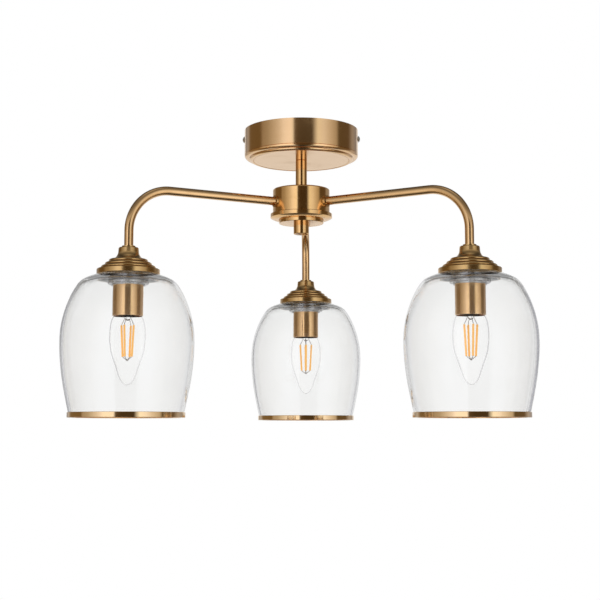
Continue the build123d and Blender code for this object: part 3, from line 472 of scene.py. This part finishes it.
def plastic(name, light, dark, rough, grains=500.0):
    """Moulded plastic or PVC sheath: a tone that drifts, with a faint orange-peel relief."""
    material, tree, shader = new_material(name)
    place = place_on_piece(tree)
    grain = place_group(tree, fine_grain, Position=place, Grains_per_metre=grains)
    wear = place_group(tree, handling_marks, Position=place, Clouds_per_metre=70.0, Spread=0.7)
    drift = colour_ramp(tree, wear.outputs["Mask"], [(0.0, light), (1.0, dark)])
    wire(tree, drift, shader.inputs["Base Color"])
    patchy = calculate(tree, "MULTIPLY_ADD", grain.outputs["Patch"], PATCH_DULLS, rough)
    wire(tree, patchy, shader.inputs["Roughness"])
    add_relief(tree, shader, grain.outputs["Height"], strength=0.35, depth=0.00004)
    return material


finish["block_plastic"] = plastic("terminal block polyamide", (0.82, 0.81, 0.76), (0.7, 0.68, 0.62), 0.42)
finish["holder_plastic"] = plastic("lampholder plastic", (0.8, 0.79, 0.76), (0.68, 0.66, 0.62), 0.38)
finish["lead_sheath"] = plastic("lead sheath", (0.78, 0.76, 0.7), (0.66, 0.63, 0.57), 0.45, grains=900.0)
finish["live_insulation"] = plastic("live core brown", (0.2, 0.08, 0.035), (0.13, 0.05, 0.02), 0.42)
finish["neutral_insulation"] = plastic("neutral core blue", (0.04, 0.16, 0.5), (0.03, 0.1, 0.36), 0.42)
finish["earth_insulation"] = plastic("earth core green", (0.12, 0.36, 0.06), (0.5, 0.55, 0.05), 0.42)
print("finishes so far", len(finish))

# %% [markdown]
# ## Clear glass
# The bells are blown clear glass and so are the bulbs. Glass is a Principled shader with full
# transmission: light bends through both faces of the wall, so the wall must have its real thickness
# in the mesh, which the CAD model gives. Blown glass is never quite even, so its normal ripples, and
# its tint drifts between clear and the faintest grey. The index of refraction is set below that of
# solid glass, because the photographed walls show only thin, pale edges.
#
# Two kinds of ray meet no glass at all, which a Light Path node decides. Bending glass would stop
# the light on its way to the bulb, so shadow rays and diffuse rays pass straight through. And a ray
# that keeps bouncing inside a wall would end black, so after four bounces it is let out.

# %% Recipe: clear glass
BOUNCES_IN_GLASS = 4
SPECK_DULLS = 0.006  # roughness added by a full speck of dust
CALM_SHARE = 0.12  # what is left of the ripple where the wall is thin


def height_on(tree, place):
    """The height of a place in metres, which is 0 at the ceiling and less than 0 below it."""
    point = add_node(tree, "ShaderNodeSeparateXYZ")
    wire(tree, place, point.inputs[0])
    return point.outputs["Z"]


def show_either(tree, share, first, second):
    """Gives the material the first surface where share is 0, and the second where it is 1."""
    mixer = add_node(tree, "ShaderNodeMixShader")
    for source, socket in zip((share, first, second), mixer.inputs):
        wire(tree, source, socket)
    wire(tree, mixer.outputs[0], tree.nodes["Material Output"].inputs["Surface"])


def clear_glass(name, clear, smoky, bending, ripple, waves, calm=None):
    """Blown clear glass with a faint tint. Between the two heights of calm the ripple grows."""
    material, tree, shader = new_material(name)
    shader.inputs["Transmission Weight"].default_value = 1.0
    shader.inputs["IOR"].default_value = bending
    place = place_on_piece(tree)
    wear = place_group(tree, handling_marks, Position=place, Clouds_per_metre=waves, Spread=1.0)
    tint = colour_ramp(tree, wear.outputs["Mask"], [(0.0, clear), (1.0, smoky)])
    wire(tree, tint, shader.inputs["Base Color"])
    rough = calculate(tree, "MULTIPLY", wear.outputs["Specks"], SPECK_DULLS)
    wire(tree, rough, shader.inputs["Roughness"])
    swell = noise_over(tree, place, waves, detail=1.0)
    if calm is not None:
        thick = remap(tree, height_on(tree, place), *calm, least=CALM_SHARE)
        swell = calculate(tree, "MULTIPLY", swell, thick)
    add_relief(tree, shader, swell, strength=0.5, depth=ripple)
    rays = add_node(tree, "ShaderNodeLightPath")
    trapped = calculate(tree, "GREATER_THAN", rays.outputs["Ray Depth"], BOUNCES_IN_GLASS + 0.5)
    lighting = calculate(tree, "MAXIMUM", rays.outputs["Is Shadow Ray"], rays.outputs["Is Diffuse Ray"])
    no_glass = calculate(tree, "MAXIMUM", lighting, trapped)
    open_way = add_node(tree, "ShaderNodeBsdfTransparent")
    show_either(tree, no_glass, shader.outputs[0], open_way.outputs[0])
    return material


print("recipe for clear glass ready")

# %% [markdown]
# ## Bells, bulbs and mounts
# Near the gallery the bell is thick, and on the real light it bends what is behind it into streaks.
# Down the side it is thin and calm. So the bell's ripple grows over the top 35 mm. The bulb's glass
# is thin all over and hardly bends anything, while the glass mount inside it, which carries the
# wires, is a small solid stem and bends more.

# %% Finishes: glass
bell_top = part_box("shade_left")[1].z
THICK_START, THICK_FULL = 0.0353, 0.0003  # depths below the bell's top between which the ripple grows
thick_heights = (bell_top - THICK_START, bell_top - THICK_FULL)

finish["shade_glass"] = clear_glass(
    "bell glass", (0.965, 0.966, 0.963), (0.95, 0.952, 0.948), 1.33, 0.0022, 30.0, calm=thick_heights
)
finish["bulb_glass"] = clear_glass("bulb glass", (0.99, 0.99, 0.988), (0.98, 0.98, 0.977), 1.06, 0.0001, 60.0)
finish["bulb_mount_glass"] = clear_glass(
    "bulb mount glass", (0.97, 0.97, 0.96), (0.93, 0.93, 0.92), 1.25, 0.0002, 300.0
)
print("bell top", round(bell_top, 4), "finishes so far", len(finish))

# %% [markdown]
# ## Filaments
# Each LED filament is a thin glass rod with a row of tiny chips, coated all over with a yellow-orange
# phosphor gel, between two metal end pins. Off, it looks like a matt orange stick. The support wires
# belong to the same piece, so height decides which is which: between the rods' two ends it is
# phosphor, beyond them bare wire. The chips show through the gel as a fine beat in its colour, which
# a sine of the height gives. Phosphor takes in blue light and gives it back as orange, so even unlit
# it looks bright. A weak emission on the rods is a painted glow: it paints in light that no lamp gives them.


# %% Finish: filaments
def mix_colours(tree, share, first, second, blend="MIX"):
    """A Mix node for colours, whose sockets 6, 7 and output 2 are the ones for colours."""
    node = add_node(tree, "ShaderNodeMix", data_type="RGBA", blend_type=blend)
    for source, socket in ((share, 0), (first, 6), (second, 7)):
        wire(tree, source, node.inputs[socket])
    return node.outputs[2]


WIRES_BELOW, WIRES_ABOVE = 0.0040, 0.0074  # lengths of bare wire below and above the rods
CHIP_BEAT = 5200.0  # how fast the sine runs: one chip for each 1.2 mm of height
WIRE_GREY = (0.55, 0.53, 0.5, 1.0)
GEL_TONES = [(0.0, (0.95, 0.46, 0.1)), (1.0, (1.0, 0.62, 0.2))]
# painted glow: the tones and strength of an emission on the rods, which no lamp gives them
PAINTED_GLOW_TONES = [(0.0, (0.0, 0.0, 0.0)), (1.0, (1.0, 0.5, 0.13))]
PAINTED_GLOW_STRENGTH = 0.25
WIRE_ROUGHNESS, GEL_ROUGHNESS = 0.3, 0.55

phosphor, tree, shader = new_material("filament phosphor")
wires_low, wires_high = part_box("bulb_filaments_left")
rod_bottom = wires_low.z + WIRES_BELOW
rod_top = wires_high.z - WIRES_ABOVE
height = height_on(tree, place_on_piece(tree))
above = calculate(tree, "GREATER_THAN", height, rod_bottom)
below = calculate(tree, "LESS_THAN", height, rod_top)
on_rod = calculate(tree, "MULTIPLY", above, below)
chips = calculate(tree, "SINE", calculate(tree, "MULTIPLY", height, CHIP_BEAT))
gel = colour_ramp(tree, calculate(tree, "MULTIPLY_ADD", chips, 0.5, 0.5), GEL_TONES)
wire(tree, mix_colours(tree, on_rod, WIRE_GREY, gel), shader.inputs["Base Color"])
# painted glow, on the rods only
wire(tree, colour_ramp(tree, on_rod, PAINTED_GLOW_TONES), shader.inputs["Emission Color"])
shader.inputs["Emission Strength"].default_value = PAINTED_GLOW_STRENGTH
wire(tree, calculate(tree, "SUBTRACT", 1.0, on_rod), shader.inputs["Metallic"])
rougher = GEL_ROUGHNESS - WIRE_ROUGHNESS
wire(tree, calculate(tree, "MULTIPLY_ADD", on_rod, rougher, WIRE_ROUGHNESS), shader.inputs["Roughness"])
add_relief(tree, shader, chips, strength=0.4, depth=0.00005)
finish["filament_phosphor"] = phosphor
print("filament rods from", round(rod_bottom, 4), "to", round(rod_top, 4))

# %% [markdown]
# ## Dress the CAD pieces
# Each node of the CAD model names the slot it takes its finish from. Galleries, sleeves and rims have
# a finish under their own name, one for each side; all others share one by slot. The old material is
# cleared first, so that no face keeps the CAD model's plain colour.

# %% Put the finishes on
slot_of = {row["node"]: row["material_slot"] for row in frame["record"]["subparts"]}
for node, piece in frame["nodes"].items():
    chosen = finish.get(node) or finish[slot_of[node]]
    piece.data.materials.clear()
    piece.data.materials.append(chosen)
print("dressed", len(frame["nodes"]), "nodes with", len(finish), "finishes")

# %% [markdown]
# ## The backdrop's shape
# A sweep is the studio's oldest trick: one pale sheet that lies as a floor and bends up into the
# wall, so that no corner shows. Here it starts behind the light, far below it, so that it doesn't
# throw light up at the arms. It could be a plane with a Bevel modifier, but an edge drawn with three
# corners, bent with a bevel and extruded sideways is as short, and leaves no modifier to apply.

# %% Sweep: shape
SWEEP_WIDTH = 3.0
SWEEP_FRONT, SWEEP_BACK = 1.1, 3.0
FLOOR_HEIGHT, WALL_TOP = -1.4, 1.35
SWEEP_BEND = 0.8
PROFILE = ((SWEEP_FRONT, FLOOR_HEIGHT), (SWEEP_BACK, FLOOR_HEIGHT), (SWEEP_BACK, WALL_TOP))

sheet = bmesh.new()
corners = [sheet.verts.new((-SWEEP_WIDTH / 2, y, z)) for y, z in PROFILE]
for pair in zip(corners, corners[1:]):
    sheet.edges.new(pair)
bmesh.ops.bevel(
    sheet, geom=[corners[1]], offset=SWEEP_BEND, affect="VERTICES", segments=12, profile=0.5, material=-1
)
strip = bmesh.ops.extrude_edge_only(sheet, edges=sheet.edges[:])
far_side = [item for item in strip["geom"] if isinstance(item, bmesh.types.BMVert)]
bmesh.ops.translate(sheet, vec=(SWEEP_WIDTH, 0, 0), verts=far_side)
sweep_mesh = bpy.data.meshes.new("studio sweep")
sheet.to_mesh(sweep_mesh)
sheet.free()
sweep = bpy.data.objects.new("studio_sweep", sweep_mesh)
bpy.context.scene.collection.objects.link(sweep)
sweep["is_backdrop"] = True
print("sweep faces", len(sweep_mesh.polygons))

# %% [markdown]
# ## The backdrop's paper
# Studio paper is matt and nearly white. For the camera, for mirrors and through glass it is plain
# white, which a Light Path node decides; all else meets pale paper that takes light and shadow. After
# each mirror reflection the paper looks a little greyer, as it does in the photographed brass.

# %% Sweep: paper
PAPER_GREY = (0.86, 0.86, 0.86, 1.0)
LOSS_PER_MIRROR = 0.16

paper, tree, shader = new_material("sweep paper")
shader.inputs["Base Color"].default_value = PAPER_GREY
shader.inputs["Roughness"].default_value = 0.9
rays = add_node(tree, "ShaderNodeLightPath")
seen = calculate(tree, "MAXIMUM", rays.outputs["Is Camera Ray"], rays.outputs["Is Glossy Ray"])
seen = calculate(tree, "MAXIMUM", seen, rays.outputs["Is Transmission Ray"])
white = add_node(tree, "ShaderNodeEmission")
brightness = calculate(tree, "MULTIPLY_ADD", rays.outputs["Glossy Depth"], -LOSS_PER_MIRROR, 1.0)
wire(tree, brightness, white.inputs["Strength"])
show_either(tree, seen, shader.outputs[0], white.outputs[0])
sweep_mesh.materials.append(paper)
print("finish", paper.name)

# %% [markdown]
# ## The room, once round
# Polished brass shows what stands round it, so the room matters more than the lamps. The photo shows
# two large soft panels, left and right of the camera, brightest towards the camera side, with a dark
# gap between them where the camera stands, dark room beyond, and a pale backdrop. All this could be
# built from planes and lamps, but the world can hold it without any noise: one ramp runs round the
# horizon and names what stands at each angle.

# %% World: round the horizon
HORIZON = [  # degrees round from the camera, more than 0 on the picture's right, and the colour there
    # backdrop, from its middle to its left end
    (-180, (0.30, 0.28, 0.27)),
    (-150, (0.28, 0.28, 0.29)),
    (-136, (0.42, 0.42, 0.44)),
    # dark room on the left
    (-124, (0.18, 0.13, 0.07)),
    (-88, (0.16, 0.11, 0.05)),
    # left panel, from its dim far side to its bright near edge
    (-83, (0.35, 0.30, 0.24)),
    (-70, (0.41, 0.37, 0.31)),
    (-52, (0.65, 0.63, 0.62)),
    (-43, (0.80, 0.80, 0.84)),
    (-34, (1.04, 1.06, 1.20)),
    (-20, (1.18, 1.20, 1.35)),
    (-15, (1.05, 1.10, 1.20)),
    # gap where the camera stands
    (-12, (0.09, 0.06, 0.03)),
    (0, (0.058, 0.038, 0.016)),
    (24, (0.058, 0.040, 0.020)),
    # right panel, from its bright near edge to its dim far side
    (35, (0.98, 1.02, 1.02)),
    (48, (0.88, 0.90, 0.96)),
    (57, (0.74, 0.73, 0.73)),
    (66, (0.61, 0.58, 0.54)),
    (77, (0.46, 0.42, 0.36)),
    # dark room on the right
    (83, (0.11, 0.08, 0.04)),
    (112, (0.12, 0.085, 0.05)),
    # backdrop, from its right end to its middle
    (128, (0.36, 0.35, 0.36)),
    (150, (0.28, 0.28, 0.31)),
    (180, (0.30, 0.28, 0.27)),
]


def ramp_stops(rows, span):
    """Rows of (number, colour), with numbers from -span / 2 to span / 2, as stops of a ramp."""
    return [(number / span + 0.5, colour) for number, colour in rows]


world = bpy.data.worlds.new("studio")
bpy.context.scene.world = world
world.use_nodes = True
tree = world.node_tree
direction = add_node(tree, "ShaderNodeSeparateXYZ")
wire(tree, add_node(tree, "ShaderNodeTexCoord").outputs["Generated"], direction.inputs[0])
towards_camera = calculate(tree, "MULTIPLY", direction.outputs["Y"], -1.0)
turn = calculate(tree, "ARCTAN2", direction.outputs["X"], towards_camera)
once_round = calculate(tree, "MULTIPLY_ADD", turn, 0.5 / math.pi, 0.5)
around = colour_ramp(tree, once_round, ramp_stops(HORIZON, 360))
print("horizon stops", len(HORIZON))

# %% [markdown]
# ## The room above the panels
# Higher up, the panels end and the walls and ceiling of a pale room show, lit by the panels: bright
# towards the camera, dim behind. A second ramp round the horizon holds them, and a soft step in the
# height, from 13 to 26 degrees, goes over from one to the other. Looking up, the room is slightly
# warmer than the panels.


# %% World: upper room
def warm_grey(level):
    """A grey as a ceiling gives it back: less blue, and a little less green."""
    return (level, 0.96 * level, 0.9 * level)


UPPER_ROOM = [(-180, 0.4), (-115, 0.3), (-70, 0.8), (0, 0.95), (70, 0.8), (115, 0.3), (180, 0.4)]
PANELS_END, ROOM_STARTS = 13, 26  # degrees above the horizon

upper_stops = ramp_stops([(angle, warm_grey(level)) for angle, level in UPPER_ROOM], 360)
upper_room = colour_ramp(tree, once_round, upper_stops)
height_angle = calculate(tree, "ARCSINE", direction.outputs["Z"])
how_high = remap(tree, height_angle, math.radians(PANELS_END), math.radians(ROOM_STARTS))
panels_and_room = mix_colours(tree, how_high, around, upper_room)
print("upper room stops", len(UPPER_ROOM))

# %% [markdown]
# ## The room from floor to ceiling
# A panel isn't as bright at its ends as in its middle, and little light comes from right below or
# from high up. A third ramp runs from straight down to straight up and dims the room by height. Its
# level at 12 degrees counts as full, because the upright brass walls mirror that height to the
# camera. A cap keeps the brightest spots from burning out.

# %% World: from floor to ceiling
LEVELS = [  # degrees above the horizon, and how bright the room is there
    (-90, 0.14),
    (-62, 0.22),
    (-46, 0.55),
    (-30, 1.0),
    (-12, 0.94),
    (0, 0.79),
    (12, 0.62),
    (22, 0.44),
    (36, 0.22),
    (48, 0.14),
    (62, 0.16),
    (74, 0.3),
    (90, 0.45),
]
FULL_LEVEL = 0.62
BRIGHTEST = (1.25, 1.25, 1.3)


def grey_rows(rows):
    """Rows of (number, level) with the level written as a grey."""
    return [(number, (level, level, level)) for number, level in rows]


down_to_up = calculate(tree, "MULTIPLY_ADD", height_angle, 1.0 / math.pi, 0.5)
level = colour_ramp(tree, down_to_up, ramp_stops(grey_rows(LEVELS), 180))
dimmed = mix_colours(tree, 1.0, panels_and_room, level, blend="MULTIPLY")
lifted = add_node(tree, "ShaderNodeVectorMath", operation="SCALE")
wire(tree, dimmed, lifted.inputs[0])
wire(tree, 1.0 / FULL_LEVEL, lifted.inputs["Scale"])
capped = add_node(tree, "ShaderNodeVectorMath", operation="MINIMUM")
wire(tree, lifted.outputs[0], capped.inputs[0])
wire(tree, BRIGHTEST, capped.inputs[1])
print("levels", len(LEVELS))

# %% [markdown]
# ## Who sees the room
# Only mirrors see this room. Matt surfaces get plain, even light, what looks straight through glass
# sees the pale paper of the backdrop, slightly greyer at the sides, and the camera sees plain white.
# Brass behind glass is a mirror as well, so a ray that was mirrored once sees the room and hardly
# any paper. One flag of the Light Path node after the other picks its answer over the one before.

# %% World: who sees what
EVEN_LIGHT = (0.85, 0.85, 0.85, 1.0)
WHITE = (1.0, 1.0, 1.0, 1.0)
# how far back a ray looks, from -1 at the camera to 1 at the backdrop, and how white the paper is
PAPER_WHITES = [(-1.0, 0.95), (-0.3, 0.84), (0.35, 0.86), (0.8, 0.97), (1.0, 1.0)]
PAPER_LOST_IN_MIRROR = 0.92

how_far_back = calculate(tree, "MULTIPLY_ADD", direction.outputs["Y"], 0.5, 0.5)
paper_white = colour_ramp(tree, how_far_back, ramp_stops(grey_rows(PAPER_WHITES), 2))
rays = add_node(tree, "ShaderNodeLightPath")
mirrored_once = calculate(tree, "COMPARE", rays.outputs["Glossy Depth"], 1.0, 0.5)
paper_share = calculate(tree, "MULTIPLY_ADD", mirrored_once, -PAPER_LOST_IN_MIRROR, 1.0)
through_glass = calculate(tree, "MULTIPLY", rays.outputs["Is Transmission Ray"], paper_share)
seen = mix_colours(tree, rays.outputs["Is Diffuse Ray"], capped.outputs[0], EVEN_LIGHT)
seen = mix_colours(tree, through_glass, seen, paper_white)
seen = mix_colours(tree, rays.outputs["Is Camera Ray"], seen, WHITE)
wire(tree, seen, tree.nodes["Background"].inputs["Color"])
print("world", world.name)

# %% [markdown]
# ## Camera
# The photo was taken from a little below the shades' mouths, nearly a metre and a third away, with
# a long lens: the canopy's underside shows as a narrow ellipse, and the rims almost edge-on. A camera
# can be placed by eye, but here its place was found by fitting the outline of the canopy, arms and
# rims to the photo. It stands a little to the right of the middle and looks up by six degrees.

# %% Camera
FOCAL_LENGTH, SENSOR_WIDTH = 75.5, 36.0  # in millimetres, as Blender has them
PICTURE_WIDTH = 600  # in pixels
STEM_PIXELS_RIGHT = 1.3  # how far right of the picture's middle the stem stands
DISTANCE = 1.311
CAMERA_HEIGHT = -0.3163
CAMERA_TURN = math.radians(1.62)
CAMERA_TILT = math.radians(5.93)

lens = bpy.data.cameras.new("photo lens")
lens.lens = FOCAL_LENGTH
lens.sensor_width = SENSOR_WIDTH
camera = bpy.data.objects.new("camera", lens)
bpy.context.scene.collection.objects.link(camera)
bpy.context.scene.camera = camera
focal_pixels = FOCAL_LENGTH / SENSOR_WIDTH * PICTURE_WIDTH
pan = math.atan2(STEM_PIXELS_RIGHT, focal_pixels)
camera.location = (DISTANCE * math.sin(CAMERA_TURN), -DISTANCE * math.cos(CAMERA_TURN), CAMERA_HEIGHT)
camera.rotation_euler = Euler((math.pi / 2 + CAMERA_TILT, 0, CAMERA_TURN + pan))
bpy.context.scene.view_settings.view_transform = "Standard"
print("camera at", [round(v, 3) for v in camera.location])

# %% Size of the light
import json

low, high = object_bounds()
print("size of the light in metres", [round(b - a, 4) for a, b in zip(low, high)])
